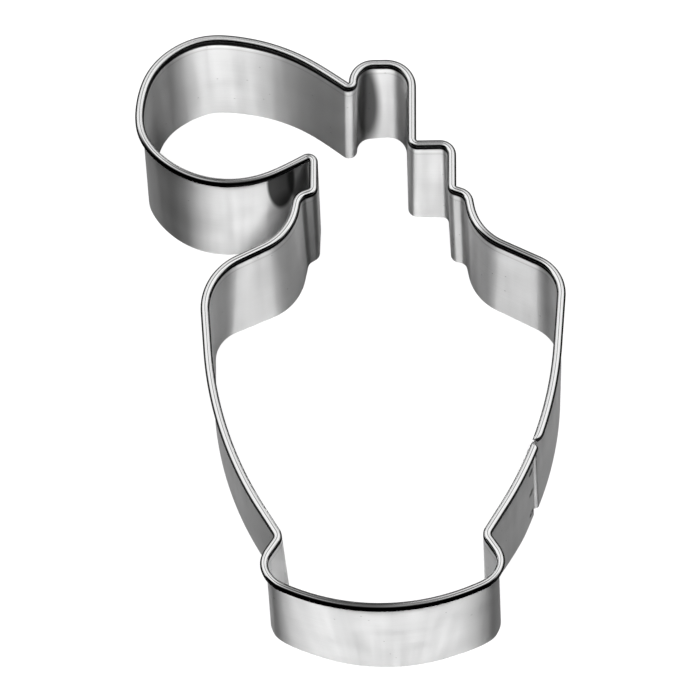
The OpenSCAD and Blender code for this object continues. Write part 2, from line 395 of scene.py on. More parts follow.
@dataclass
class Strip:
    """The bent strip: sheet, rim and seam sizes in millimetres, and its paths.

    The far end comes from the shoulder and steps in behind the near one, which comes
    from the foot. A taper is the length over which the rim's end is pinched shut in
    width and in rise, and a pinch is what is left of both at the very end.
    """

    height: float = 25.0
    sheet: float = 0.3
    rim_d: float = 1.3
    rim_curl: float = 290.0
    seam_at: float = 10.8
    lap: float = 4.6
    lap_gap: float = 0.05
    joggle: float = 0.6
    joggle_from: float = 0.45
    joggle_clear: float = 0.02
    rim_gap: float = 0.4
    notch: float = 0.5
    weld_d: float = 1.5
    weld_inset: float = 1.3
    weld_first: float = 2.6
    weld_last: float = 16.8
    weld_count: int = 3
    weld_dish: float = 0.06
    far_taper: tuple[float, float] = (1.5, 0.9)
    far_pinch: tuple[float, float] = (0.42, 0.7)
    near_taper: tuple[float, float] = (0.45, 0.45)
    near_pinch: tuple[float, float] = (0.7, 0.85)
    seam_pull: float = 1.06
    seam_tuck: float = 0.2
    tuck_run: float = 6.0
    near_back: float = 0.33
    lap_step: float = 0.6
    side_step: float = 0.9
    far_step: float = 0.08
    near_step: float = 0.06
    outline: Outline = field(default_factory=Outline)
    shift: Vector = field(default_factory=lambda: Vector((0.0, 0.0)))

    def __post_init__(self) -> None:
        """Find the shift that centres the outline on the part's origin."""
        stations = self.outline.round_trip()
        xs = [s.top.x for s in stations]
        ys = [s.top.y for s in stations]
        self.shift = Vector((-(min(xs) + max(xs)) / 2, -(min(ys) + max(ys)) / 2))

    @property
    def wall_h(self) -> float:
        """Height at which the sheet starts to roll."""
        return self.height - self.rim_d / 2

    @property
    def tongue_h(self) -> float:
        """Height of the inner end's top edge."""
        return self.height - self.rim_d - self.notch

    @property
    def step_in(self) -> float:
        """How far the inner end lies behind the outer one, middle to middle."""
        return self.sheet + self.lap_gap

    def on_side(self, distance: float, inwards: float = 0.0) -> Station:
        """A station on the bowed side.

        Args:
            distance: distance along the side's bend, from its start at the foot.
            inwards: how far the sheet lies behind the outline there.

        Returns:
            The station, without its outward direction.
        """
        top, edge = self.outline.side()
        share = distance / top.length()
        pulled = share - self.pull(distance, top.length()) / edge.length()
        tucked = inwards + self.tuck(distance)
        return Station(top.at(share, inwards), edge.at(pulled, tucked))

    def tuck(self, distance: float) -> float:
        """How far the free edge is pressed inwards, from the lap to the joggle.

        Args:
            distance: distance along the side's bend.

        Returns:
            The depth, which is greatest where the joggle starts.
        """
        past = distance - self.seam_at - self.joggle_from
        if past <= 0.0:
            return self.seam_tuck * smooth_step(past / self.tuck_run + 1.0)
        return self.seam_tuck * (1.0 - smooth_step(past / self.joggle))

    def pull(self, distance: float, length: float) -> float:
        """How far the free edge is drawn towards the foot.

        Args:
            distance: distance along the side's bend.
            length: length of the whole bend.

        Returns:
            The pull, which is greatest at the seam.
        """
        if distance <= self.seam_at:
            return self.seam_pull * smooth_step(distance / self.seam_at)
        past = (distance - self.seam_at) / (length - self.seam_at)
        return self.seam_pull * (1.0 - smooth_step(past))

    def finish_path(self, stations: list[Station]) -> list[Station]:
        """Give an open path its outward directions and its running length.

        Args:
            stations: the path's stations in order.

        Returns:
            The same stations.
        """
        total = 0.0
        for i, station in enumerate(stations):
            before = stations[max(i - 1, 0)].top
            after = stations[min(i + 1, len(stations) - 1)].top
            station.out = right_of((after - before).normalized())
            if i:
                total += (station.top - before).length
            station.along = total
        return stations

    def spread(self, first: float, last: float, step: float) -> list[float]:
        """Distances from first to last, evenly spaced by about a step."""
        count = max(1, math.ceil(abs(last - first) / step))
        return [first + (last - first) * k / count for k in range(count + 1)]

    def wall_path(self) -> list[Station]:
        """Lay the wall's path.

        Returns:
            The stations from the inner end round to the outer end.
        """
        side_length = self.outline.side()[0].length()
        joggle_start = self.seam_at + self.joggle_from
        joggle_end = joggle_start + self.joggle
        path: list[Station] = []
        for d in self.spread(self.seam_at - self.lap, joggle_start, self.lap_step)[:-1]:
            path.append(self.on_side(d, self.step_in))
        for d in self.spread(joggle_start, joggle_end, self.far_step):
            ease = smooth_step((d - joggle_start) / self.joggle)
            path.append(self.on_side(d, self.step_in * (1.0 - ease)))
        for station in path:
            station.height = self.tongue_h / self.wall_h
        clear = joggle_end + self.joggle_clear
        for d in self.spread(clear, side_length, self.side_step):
            path.append(self.on_side(d))
        path += self.outline.softened(self.outline.round_trip())
        last = self.seam_at - self.near_back
        path += [self.on_side(d) for d in self.spread(0.0, last, self.lap_step)]
        return self.finish_path(path)

    def pinched(
        self, at: float, away: float, taper: tuple[float, float],
        pinch: tuple[float, float],
    ) -> Station:
        """A station of the rim near one of its ends, where it is pinched shut.

        Args:
            at: distance along the side's bend.
            away: distance from the rim's end.
            taper: lengths over which the width and the rise grow to their full size.
            pinch: shares of both at the very end.

        Returns:
            The station.
        """
        shares = []
        for length, least in zip(taper, pinch):
            left = 1.0 - min(max(away / length, 0.0), 1.0)
            shares.append(least + (1.0 - least) * math.sqrt(max(0.0, 1.0 - left ** 2)))
        return replace(self.on_side(at), bead=shares[0], rise=shares[1])

    def rim_path(self) -> list[Station]:
        """Lay the rim's path.

        Returns:
            The stations from one side of the gap round to the other.
        """
        side_length = self.outline.side()[0].length()
        first = self.seam_at + self.rim_gap
        open_from = first + self.far_taper[0]
        path = [
            self.pinched(d, d - first, self.far_taper, self.far_pinch)
            for d in self.spread(first, open_from, self.far_step)[:-1]
        ]
        for d in self.spread(open_from, side_length, self.side_step):
            path.append(self.on_side(d))
        path += self.outline.softened(self.outline.round_trip())
        last = self.seam_at - self.near_back
        open_to = last - self.near_taper[0]
        for d in self.spread(0.0, open_to, self.side_step)[:-1]:
            path.append(self.on_side(d))
        for d in self.spread(open_to, last, self.near_step):
            path.append(self.pinched(d, last - d, self.near_taper, self.near_pinch))
        return self.finish_path(path)

    def weld_axis(self) -> tuple[Station, Vector]:
        """Middle of the lapped sheets at the welds.

        Returns:
            The station between the two sheets, and the outward direction.
        """
        distance = self.seam_at - self.weld_inset
        here = self.on_side(distance, self.step_in / 2)
        outer = self.on_side(distance)
        return here, (outer.top - here.top).normalized()

    def weld_row(self) -> tuple[Vector, Vector, Triple]:
        """Place of the weld row in the part's frame, in metres.

        Returns:
            The lowest weld's place, the step to the next, and the turn that lays a
            cylinder's axis along the weld.
        """
        middle, out = self.weld_axis()
        stands_off = middle.edge - middle.top
        share = self.weld_first / self.wall_h
        low = ((middle.top + stands_off * (1.0 - share) + self.shift) * MM).to_3d()
        low.z = self.weld_first * MM
        rise = (self.weld_last - self.weld_first) / (self.weld_count - 1)
        pitch = (stands_off * (-rise / self.wall_h) * MM).to_3d()
        pitch.z = rise * MM
        return low, pitch, (0.0, math.pi / 2, math.atan2(out.y, out.x))


# ---------------------------------------------------------------------------
# Node trees
# ---------------------------------------------------------------------------


@dataclass
class Tree:
    """A node tree under construction, for geometry or for shading."""

    tree: bpy.types.NodeTree
    count: int = 0

    @classmethod
    def new(cls, name: str, kind: str) -> "Tree":
        """A new node group: a GeometryNodeTree or a ShaderNodeTree."""
        return cls(bpy.data.node_groups.new(name, kind))

    @classmethod
    def emptied(cls, owner: Any) -> "Tree":
        """Clear the nodes of a new material or world.

        Args:
            owner: the material or the world.

        Returns:
            Its tree.
        """
        owner.use_nodes = True
        owner.node_tree.nodes.clear()
        return cls(owner.node_tree)

    def socket(
        self, name: str, kind: str, value: Any = None, output: bool = False
    ) -> str:
        """Add a named socket to the tree's interface.

        Args:
            name: the socket's name.
            kind: the end of the socket's type name, such as Float.
            value: the socket's default value.
            output: whether it is an output.

        Returns:
            The socket's identifier.
        """
        item = self.tree.interface.new_socket(
            name=name,
            in_out="OUTPUT" if output else "INPUT",
            socket_type=f"NodeSocket{kind}",
        )
        if value is not None:
            item.default_value = value
        return item.identifier

    def node(self, kind: str, inputs: Optional[dict] = None, **props: Any) -> Any:
        """Add a node, set its properties and fill its inputs.

        Args:
            kind: the node's type name.
            inputs: input name or index, to a value or to a socket to link.
            props: the node's own properties.

        Returns:
            The node.
        """
        node = self.tree.nodes.new(kind)
        # In rows of twenty, so that the tree can be read in the editor.
        node.location = (self.count % 20 * 170, -(self.count // 20) * 320)
        self.count += 1
        for key, value in props.items():
            setattr(node, key, value)
        for key, value in (inputs or {}).items():
            if isinstance(value, bpy.types.NodeSocket):
                self.tree.links.new(value, node.inputs[key])
            else:
                node.inputs[key].default_value = value
        return node

    def math(self, operation: str, *values: Any) -> Any:
        """A maths node's result."""
        inputs = dict(enumerate(values))
        return self.node("ShaderNodeMath", inputs, operation=operation).outputs[0]

    def add(self, a: Any, b: Any) -> Any:
        """Sum of two numbers."""
        return self.math("ADD", a, b)

    def sub(self, a: Any, b: Any) -> Any:
        """Difference of two numbers."""
        return self.math("SUBTRACT", a, b)

    def mul(self, a: Any, b: Any) -> Any:
        """Product of two numbers."""
        return self.math("MULTIPLY", a, b)

    def dim(self, tone: Any, dark: Any) -> Any:
        """A tone that is darker by a share of itself."""
        return self.mul(tone, self.sub(1.0, dark))

    def lit(self, tone: Any, light: Any) -> Any:
        """A tone that is brighter by a share of itself."""
        return self.mul(tone, self.add(light, 1.0))

    def vector_math(self, operation: str, a: Any, b: Any) -> Any:
        """A vector maths node's vector result."""
        inputs = {0: a, "Scale" if operation == "SCALE" else 1: b}
        return self.node("ShaderNodeVectorMath", inputs, operation=operation).outputs[0]

    def parts(self, vector: Any) -> Any:
        """A vector's parts, by the names X, Y and Z."""
        return self.node("ShaderNodeSeparateXYZ", {0: vector}).outputs

    def vector(self, **parts: Any) -> Any:
        """A vector from its parts, given by the names X, Y and Z."""
        return self.node("ShaderNodeCombineXYZ", parts).outputs[0]

    def band(self, value: Any, first: float, last: float, high: float = 1.0) -> Any:
        """Ease from 0 to a height as a value goes from one bound to the other.

        Args:
            value: the value's socket.
            first: the bound where the result is 0.
            last: the bound where the result is the height.
            high: the height.

        Returns:
            The result's socket.
        """
        return self.node(
            "ShaderNodeMapRange",
            {"Value": value, "From Min": first, "From Max": last, "To Min": 0.0,
             "To Max": high},
            interpolation_type="SMOOTHSTEP",
        ).outputs[0]

    def noise(self, vector: Any, scale: Any, detail: float, **more: float) -> Any:
        """A plane noise texture's value."""
        inputs = {"Vector": vector, "Scale": scale, "Detail": detail, **more}
        return self.node("ShaderNodeTexNoise", inputs, noise_dimensions="2D").outputs[0]

    def strip_uv(self) -> Any:
        """The UV map that runs along the strip and up or round its section."""
        return self.node("ShaderNodeUVMap", uv_map=STRIP_UV).outputs[0]

    def place(self) -> Any:
        """The place on the piece, in Object coordinates."""
        return self.node("ShaderNodeTexCoord").outputs["Object"]

    def position(self) -> Any:
        """The position of a geometry's points."""
        return self.node("GeometryNodeInputPosition").outputs[0]

    def attribute(self, name: str, kind: str = "FLOAT") -> Any:
        """Read a named attribute of the geometry.

        Args:
            name: the attribute's name.
            kind: its data type.

        Returns:
            The value's socket.
        """
        return self.node(
            "GeometryNodeInputNamedAttribute", {"Name": name}, data_type=kind
        ).outputs["Attribute"]

    def store(
        self, geometry: Any, name: str, value: Any, kind: str = "FLOAT",
        domain: str = "POINT",
    ) -> Any:
        """Store a value in a named attribute of a geometry.

        Args:
            geometry: the geometry.
            name: the attribute's name.
            value: the value.
            kind: the attribute's data type.
            domain: what it belongs to, the points or the faces' corners.

        Returns:
            The geometry with it.
        """
        inputs = {"Geometry": geometry, "Name": name, "Value": value}
        return self.node(
            "GeometryNodeStoreNamedAttribute", inputs, data_type=kind, domain=domain
        ).outputs[0]

    def mapped(self, geometry: Any, x: Any, y: Any) -> Any:
        """Store the strip's UV map and pass the geometry on."""
        uv = self.vector(X=x, Y=y)
        return self.store(geometry, STRIP_UV, uv, "FLOAT2", "CORNER")

    def realized(self, geometry: Any) -> Any:
        """The geometry with its instances made real."""
        return self.node("GeometryNodeRealizeInstances", {0: geometry}).outputs[0]

    def row(self, item: Any, count: Any, start: Any, pitch: Any, turn: Any) -> Any:
        """Put copies of an item in a straight row.

        Args:
            item: the item's geometry.
            count: the number of copies.
            start: the first one's place.
            pitch: the step from one to the next.
            turn: the rotation of each.

        Returns:
            The copies' geometry, made real.
        """
        points = self.node(
            "GeometryNodeMeshLine",
            {"Count": count, "Start Location": start, "Offset": pitch},
        ).outputs[0]
        copies = self.node(
            "GeometryNodeInstanceOnPoints",
            {"Points": points, "Instance": item, "Rotation": turn},
        )
        return self.realized(copies.outputs[0])

    def section(self, curve: Any, out: Any, up: Any, run: Any) -> Any:
        """Store a section's facts, which the carrying group reads.

        Args:
            curve: the section's curve.
            out: its points' distances outwards.
            up: their heights.
            run: their places up or round the section, for the UV map.

        Returns:
            The curve.
        """
        facts = {"section_out": out, "section_up": up, "section_run": run}
        for name, value in facts.items():
            curve = self.store(curve, name, value)
        return curve


def carry_group() -> bpy.types.NodeTree:
    """Group that carries a section along the strip's path.

    The path's points carry their outward direction, the free edge's set, their
    running length, and how high and how wide the section is there. The section's
    points carry their distance outwards and their height.

    Returns:
        The node group.
    """
    t = Tree.new("carry_along_strip", "GeometryNodeTree")
    t.socket("Path", "Geometry")
    t.socket("Section", "Geometry")
    t.socket("Full height", "Float", 1.0)
    t.socket("Inner face", "Float", 0.0)
    t.socket("Base height", "Float", 0.0)
    t.socket("Geometry", "Geometry", output=True)
    i = t.node("NodeGroupInput").outputs
    curve = t.node("GeometryNodeMeshToCurve", {"Mesh": i["Path"]}).outputs[0]
    path = t.store(curve, "path_point", t.position(), "FLOAT_VECTOR")
    swept = t.node(
        "GeometryNodeCurveToMesh",
        {"Curve": path, "Profile Curve": i["Section"], "Fill Caps": True},
    ).outputs[0]
    # Outwards: the inner face stays, the rest is scaled by the width there.
    reach = t.sub(t.attribute("section_out"), i["Inner face"])
    outwards = t.math("MULTIPLY_ADD", reach, t.attribute("bead"), i["Inner face"])
    rise = t.mul(t.attribute("section_up"), t.attribute("rise"))
    up = t.add(rise, i["Base height"])
    # The set of the free edge fades out towards the rim.
    low = t.math("MAXIMUM", t.sub(1.0, t.math("DIVIDE", up, i["Full height"])), 0.0)
    stands_off = t.vector_math("SCALE", t.attribute("edge_set", "FLOAT_VECTOR"), low)
    offset = t.vector_math("SCALE", t.attribute("out", "FLOAT_VECTOR"), outwards)
    offset = t.vector_math("ADD", offset, stands_off)
    offset = t.vector_math("ADD", offset, t.vector(Z=up))
    place = t.vector_math("ADD", t.attribute("path_point", "FLOAT_VECTOR"), offset)
    moved = t.node("GeometryNodeSetPosition", {"Geometry": swept, "Position": place})
    mapped = t.mapped(
        moved.outputs[0], t.attribute("along"), t.attribute("section_run")
    )
    t.node("NodeGroupOutput", {"Geometry": mapped})
    return t.tree


@dataclass
class ModifierTree:
    """A geometry node tree for one object, with its inputs' values."""

    tree: Tree
    values: dict[str, Any] = field(default_factory=dict)

    def input(self, name: str, kind: str, value: Any) -> None:
        """Add a named input and keep its value under its identifier."""
        self.values[self.tree.socket(name, kind, value)] = value

    def finish(self, geometry: Any, material: Any) -> None:
        """Set the finish on realized geometry and pass it out of the tree.

        Args:
            geometry: the geometry.
            material: the finish's socket.
        """
        inputs = {0: geometry, "Material": material}
        dressed = self.tree.node("GeometryNodeSetMaterial", inputs)
        self.tree.node("NodeGroupOutput", {"Geometry": dressed.outputs[0]})

    def put_on(self, obj: bpy.types.Object) -> None:
        """Add the tree to an object as a modifier.

        Args:
            obj: the object, whose mesh is the tree's first input.
        """
        modifier = obj.modifiers.new("build", "NODES")
        modifier.node_group = self.tree.tree
        for key, value in self.values.items():
            modifier[key] = value


def modifier_tree(name: str, source: str, values: dict[str, tuple]) -> ModifierTree:
    """Start a tree whose first input is the object's own mesh.

    Args:
        name: the tree's name.
        source: the name of its first input.
        values: the names of the other inputs, to their kinds and values.

    Returns:
        The tree, with its output's socket.
    """
    m = ModifierTree(Tree.new(name, "GeometryNodeTree"))
    m.tree.socket(source, "Geometry")
    for key, (kind, value) in values.items():
        m.input(key, kind, value)
    m.tree.socket("Geometry", "Geometry", output=True)
    return m


def placed(name: str, data: Any) -> bpy.types.Object:
    """Make an object and link it to the scene.

    Args:
        name: the object's name.
        data: its mesh, lamp or camera.

    Returns:
        The object.
    """
    obj = bpy.data.objects.new(name, data)
    bpy.context.scene.collection.objects.link(obj)
    return obj


# ---------------------------------------------------------------------------
# Finishes
# ---------------------------------------------------------------------------


@dataclass(frozen=True)
class RollingGrain:
    """Fine lines, clouds, rubs and specks that rolling and tools leave on sheet.

    The sizes are scales of noise on the strip's UV map, the weights are shares of
    the tone, and a speck is as wide and as rare as its last two numbers say.
    """

    along: float = 60.0
    across: float = 4000.0
    cloud_size: float = 160.0
    speck_size: float = 900.0
    rub_size: float = 700.0
    rub_across: float = 25.0
    line_weight: float = 0.6
    cloud_weight: float = 0.5
    rub_weight: float = 0.45
    speck_reach: float = 0.12
    speck_above: float = 0.985

    def build(self) -> bpy.types.NodeTree:
        """Make the shader group that all finishes share.

        Returns:
            The node group, with a height, a tone and a mask of specks.
        """
        t = Tree.new("rolling_grain", "ShaderNodeTree")
        t.socket("Along", "Float", self.along)
        t.socket("Across", "Float", self.across)
        t.socket("Cloud size", "Float", self.cloud_size)
        t.socket("Speck size", "Float", self.speck_size)
        t.socket("Rub size", "Float", self.rub_size)
        for name in ("Height", "Tone", "Specks"):
            t.socket(name, "Float", output=True)
        i = t.node("NodeGroupInput").outputs
        uv = t.strip_uv()
        x, y = t.parts(uv)["X"], t.parts(uv)["Y"]
        drawn = t.vector(X=t.mul(x, i["Along"]), Y=t.mul(y, i["Across"]))
        lines = t.noise(drawn, 1.0, 3.0, Roughness=0.6)
        clouds = t.noise(uv, i["Cloud size"], 3.0)
        rubbed = t.vector(X=t.mul(x, i["Rub size"]), Y=t.mul(y, self.rub_across))
        rubs = t.noise(rubbed, 1.0, 2.0)
        speck = t.node(
            "ShaderNodeTexVoronoi",
            {"Vector": uv, "Scale": i["Speck size"], "Randomness": 1.0},
            voronoi_dimensions="2D",
        ).outputs
        near = t.math("LESS_THAN", speck["Distance"], self.speck_reach)
        rare = t.math("GREATER_THAN", t.parts(speck["Color"])["X"], self.speck_above)
        tone = 0.0
        for noise, weight in (
            (lines, self.line_weight), (clouds, self.cloud_weight),
            (rubs, self.rub_weight),
        ):
            tone = t.math("MULTIPLY_ADD", t.sub(noise, 0.5), weight, tone)
        specks = t.mul(near, rare)
        t.node("NodeGroupOutput", {"Height": lines, "Tone": tone, "Specks": specks})
        return t.tree


@dataclass(frozen=True)
class SteelFinish:
    """Stainless sheet: its colour and how the rolls and tools left it."""

    name: str
    colour: Triple
    roughness: float
    anisotropy: float
    grain_tone: float
    grain_depth: float
    speck: float
    along: float = 60.0
    across: float = 5000.0
    turn: float = 0.25
    uneven: float = 0.25
    relief: float = 0.5

    def build(self, grain: bpy.types.NodeTree) -> bpy.types.Material:
        """Make the material.

        Args:
            grain: the shared group of rolling lines.

        Returns:
            The material.
        """
        material = bpy.data.materials.new(self.name)
        t = Tree.emptied(material)
        sizes = {"Along": self.along, "Across": self.across}
        lines = t.node("ShaderNodeGroup", node_tree=grain, inputs=sizes).outputs
        tone = t.math("MULTIPLY_ADD", lines["Tone"], self.grain_tone, 1.0)
        tone = self.marked(t, t.sub(tone, t.mul(lines["Specks"], self.speck)))
        rough = t.math(
            "MULTIPLY_ADD", lines["Tone"], self.roughness * self.uneven, self.roughness
        )
        bump = t.node(
            "ShaderNodeBump",
            {"Height": lines["Height"], "Strength": self.relief,
             "Distance": self.grain_depth},
        )
        tangent = t.node("ShaderNodeTangent", direction_type="UV_MAP", uv_map=STRIP_UV)
        shader = t.node(
            "ShaderNodeBsdfPrincipled",
            {
                "Base Color": t.vector_math("SCALE", self.colour, tone),
                "Metallic": 1.0,
                "Roughness": self.dulled(t, rough),
                "Anisotropic": self.anisotropy,
                "Anisotropic Rotation": self.turn,
                "Tangent": tangent.outputs[0],
                "Normal": bump.outputs[0],
            },
        )
        t.node("ShaderNodeOutputMaterial", {"Surface": shader.outputs[0]})
        return material

    def marked(self, t: Tree, tone: Any) -> Any:
        """The tone with the marks that only this finish has."""
        return tone

    def dulled(self, t: Tree, rough: Any) -> Any:
        """The roughness with the places that only this finish has duller."""
        return rough


@dataclass(frozen=True)
class Shade:
    """A place with painted shade or painted light, darker or brighter than around it.

    Its middle and its reach are in millimetres, in the part's frame, and its edge is
    the share of the reach over which it fades.
    """

    middle: Triple
    reach: Triple
    factor: float
    edge: float = 0.3

    def cover(self, t: Tree, place: Any, high: float) -> Any:
        """Ease from 0 outside this place to a height inside it.

        Args:
            t: the material's tree.
            place: the socket of the place on the piece.
            high: the height.

        Returns:
            The result's socket.
        """
        off = t.vector_math("SUBTRACT", place, tuple(v * MM for v in self.middle))
        off = t.vector_math("DIVIDE", off, tuple(v * MM for v in self.reach))
        away = t.node("ShaderNodeVectorMath", {0: off}, operation="LENGTH")
        away = away.outputs["Value"]
        return t.band(away, 1.0 + self.edge, 1.0 - self.edge, high)

    def lay(self, t: Tree, place: Any, tone: Any) -> Any:
        """The tone with this place laid over it."""
        return t.lit(tone, self.cover(t, place, self.factor - 1.0))


@dataclass(frozen=True)
class WallFinish(SteelFinish):
    """The wall's finish, with painted shade under the rim and the seam's lines.

    A band's two numbers are the depths below the sheet's top where it ends and where
    it is full. A line has its middle, its half width and its change of the tone. The
    lengths are in millimetres.
    """

    wall_h: float = 24.35
    painted_band_darkness: float = 0.99
    painted_band_in: tuple[float, float] = (0.5, 0.2)
    painted_band_out: tuple[float, float] = (0.3, 0.05)
    # In the bulb the painted shade reaches deeper, by this factor in millimetres.
    deeper: Shade = Shade((-20.0, 34.0, 12.0), (18.0, 16.0, 40.0), 0.35, 0.35)
    # A lighter and a darker line along the wall below the rim.
    lines_below_rim: tuple[Triple, ...] = ((1.05, 0.45, 0.14), (1.9, 0.28, -0.2))
    # Dirt and painted contact shade at the sheet's end, painted shade on the joggle.
    seam_lines: tuple[Triple, ...] = ()
    painted_light_and_shade: tuple[Shade, ...] = ()

    def marked(self, t: Tree, tone: Any) -> Any:
        """Lay painted shade under the rim, the lines below it, the seam and the shades.

        Args:
            t: the material's tree.
            tone: the plain sheet's tone.

        Returns:
            The tone with all of them.
        """
        along, place = t.parts(t.strip_uv())["X"], t.place()
        below = t.sub(self.wall_h * MM, t.parts(place)["Z"])
        banded = t.sub(below, self.deeper.cover(t, place, self.deeper.factor * MM))
        side = t.node("ShaderNodeAttribute", attribute_name="section_out")
        outer = t.math("GREATER_THAN", side.outputs["Fac"], 0.0)
        # Painted shade and dark reflection under the rim, inner and outer face.
        for face, (end, full) in (
            (t.sub(1.0, outer), self.painted_band_in), (outer, self.painted_band_out)
        ):
            dark = t.band(banded, end * MM, full * MM, self.painted_band_darkness)
            tone = t.dim(tone, t.mul(dark, face))
        for line in self.lines_below_rim:
            tone = t.lit(tone, self.line(t, below, *line))
        for line in self.seam_lines:
            tone = t.lit(tone, t.mul(self.line(t, along, *line), outer))
        # Painted light and shade at the listed places.
        for shade in self.painted_light_and_shade:
            tone = shade.lay(t, place, tone)
        return tone

    def line(
        self, t: Tree, value: Any, middle: float, half: float, change: float
    ) -> Any:
        """Change of the tone by a soft line, where a value is near its middle."""
        off = t.math("ABSOLUTE", t.sub(value, middle * MM))
        return t.band(off, half * MM, 0.0, change)


@dataclass(frozen=True)
class RimFinish(SteelFinish):
    """The rim's finish: polished by the roller, duller towards the cap.

    The root and the flank are places round the rim's section, from 0 at the wall
    over 1 on the crest to 2 at the outermost point, where shade and a dark reflection
    are painted. The two numbers are where the painted dark starts and where it is
    full. The dull part runs up the bottle, between two places in millimetres.
    """

    root: tuple[float, float] = (0.55, 0.3)
    painted_root_shade: float = 0.96
    flank: tuple[float, float] = (1.12, 1.3)
    painted_flank_reflections: tuple[Shade, ...] = ()
    dull: float = 0.0
    dull_run: tuple[float, float] = (-10.0, 35.0)
    painted_light_and_shade: tuple[Shade, ...] = ()
    crest_line: float = 0.0
    crest_half: float = 0.085
    crest_breaks: float = 300.0
    worn_from: float = 0.42
    worn_to: float = 0.62
    worn_least: float = 0.25

    def marked(self, t: Tree, tone: Any) -> Any:
        """Lay painted shade on the root and the flanks, then the shades and the crest.

        Args:
            t: the material's tree.
            tone: the plain sheet's tone.

        Returns:
            The tone with all of them.
        """
        around, place = t.parts(t.strip_uv())["Y"], t.place()
        # Painted shade and dark reflection at the inner root.
        tone = t.dim(tone, t.band(around, *self.root, self.painted_root_shade))
        # Painted shade on the rim at the listed places.
        for shade in self.painted_light_and_shade:
            tone = shade.lay(t, place, tone)
        # Painted dark reflection on the front flanks, at the listed places.
        side = t.band(around, *self.flank)
        for shade in self.painted_flank_reflections:
            tone = t.dim(tone, t.mul(side, shade.cover(t, place, shade.factor)))
        return t.dim(tone, self.crest(t, around))

    def dulled(self, t: Tree, rough: Any) -> Any:
        """Make the roughness higher towards the cap.

        Args:
            t: the material's tree.
            rough: the plain sheet's roughness.

        Returns:
            The roughness.
        """
        first, last = self.dull_run
        more = t.band(t.parts(t.place())["Y"], first * MM, last * MM, self.dull)
        return t.add(rough, more)

    def crest(self, t: Tree, around: Any) -> Any:
        """Find the broken dark line that the roller leaves on the rim's crest.

        Args:
            t: the material's tree.
            around: the socket of the place round the section.

        Returns:
            The line's darkness.
        """
        off = t.math("ABSOLUTE", t.sub(around, 1.0))
        line = t.sub(1.0, t.math("DIVIDE", off, self.crest_half))
        worn = t.node(
            "ShaderNodeMapRange",
            {"Value": t.noise(t.strip_uv(), self.crest_breaks, 2.0),
             "From Min": self.worn_from, "From Max": self.worn_to,
             "To Min": self.worn_least, "To Max": 1.0},
        ).outputs[0]
        return t.mul(t.mul(t.math("MAXIMUM", line, 0.0), worn), self.crest_line)


WALL_STEEL = WallFinish(
    name="wall_steel", colour=(0.66, 0.66, 0.66), roughness=0.45, anisotropy=1.0,
    grain_tone=0.16, grain_depth=0.000004, speck=0.35,
    # The seam's lines: dirt and painted contact shade, and painted shade on the joggle.
    seam_lines=((4.42, 0.16, -0.75), (5.05, 0.6, -0.35), (5.7, 0.14, -0.5)),
    painted_light_and_shade=(
        # Painted dark reflection of the collar on the bulb, painted light under it.
        Shade((-10.2, 24.0, 20.0), (2.15, 3.0, 9.0), 0.09, 0.12),
        Shade((-7.0, 26.0, 19.0), (2.6, 3.0, 9.0), 0.22, 0.14),
        Shade((-9.8, 24.3, 2.0), (4.6, 3.6, 9.5), 1.5, 0.3),
        # Painted shade on the neck's right ring and its left step.
        Shade((15.6, 17.8, 12.0), (4.2, 1.7, 30.0), 0.72, 0.4),
        Shade((-5.8, 19.7, 12.0), (1.9, 1.2, 30.0), 0.3, 0.4),
        # Painted shade beside the cap's left corner.
        Shade((1.7, 41.0, 14.0), (2.5, 1.8, 15.0), 0.13, 0.3),
        # Painted light inside the foot's ends, and painted light and shade on its ends.
        Shade((-10.8, -37.0, 12.0), (2.6, 2.6, 16.0), 1.5, 0.4),
        Shade((20.9, -37.0, 12.0), (2.6, 2.6, 16.0), 1.4, 0.4),
        Shade((-8.0, -44.0, 12.0), (6.0, 4.0, 30.0), 1.2, 0.5),
        Shade((22.0, -42.0, 12.0), (5.0, 3.6, 30.0), 0.66, 0.5),
        # Painted shade on the bulb's left end and its slope to the crease.
        Shade((-31.0, 32.0, 12.0), (9.0, 15.0, 30.0), 0.78, 0.5),
        Shade((-6.5, 41.5, 12.0), (8.0, 7.0, 30.0), 0.75, 0.5),
        # Painted light on the right shoulder.
        Shade((23.0, 9.8, 12.0), (6.0, 5.0, 30.0), 1.45, 0.5),
    ),
)
RIM_STEEL = RimFinish(
    name="rim_steel", colour=(0.88, 0.88, 0.88), roughness=0.05, anisotropy=0.9,
    grain_tone=0.08, grain_depth=0.000002, speck=0.2, turn=0.0, crest_line=0.5,
    dull=0.17, dull_run=(12.0, 44.0),
    painted_light_and_shade=(
        # Painted shade: greyer on the foot, the bulb's near side and the right
        # shoulder.
        Shade((-2.0, -44.5, 25.0), (9.5, 3.4, 30.0), 0.5, 0.25),
        Shade((-21.5, 21.0, 25.0), (9.0, 5.0, 30.0), 0.6, 0.35),
        Shade((23.0, 10.5, 25.0), (7.0, 3.4, 30.0), 0.5, 0.35),
    ),
    painted_flank_reflections=(
        # Painted dark reflection on the flanks of the bulb's near side and the foot.
        Shade((-21.0, 24.0, 25.0), (15.0, 8.0, 30.0), 0.95, 0.2),
        Shade((5.2, -46.0, 25.0), (20.0, 7.5, 30.0), 0.95, 0.2),
    ),
)
WELD_STEEL = SteelFinish(
    name="weld_steel", colour=(0.42, 0.42, 0.42), roughness=0.42, anisotropy=0.0,
    grain_tone=0.35, grain_depth=0.00001, speck=0.3, along=900.0, across=1200.0,
)


# ---------------------------------------------------------------------------
# Pieces
# ---------------------------------------------------------------------------


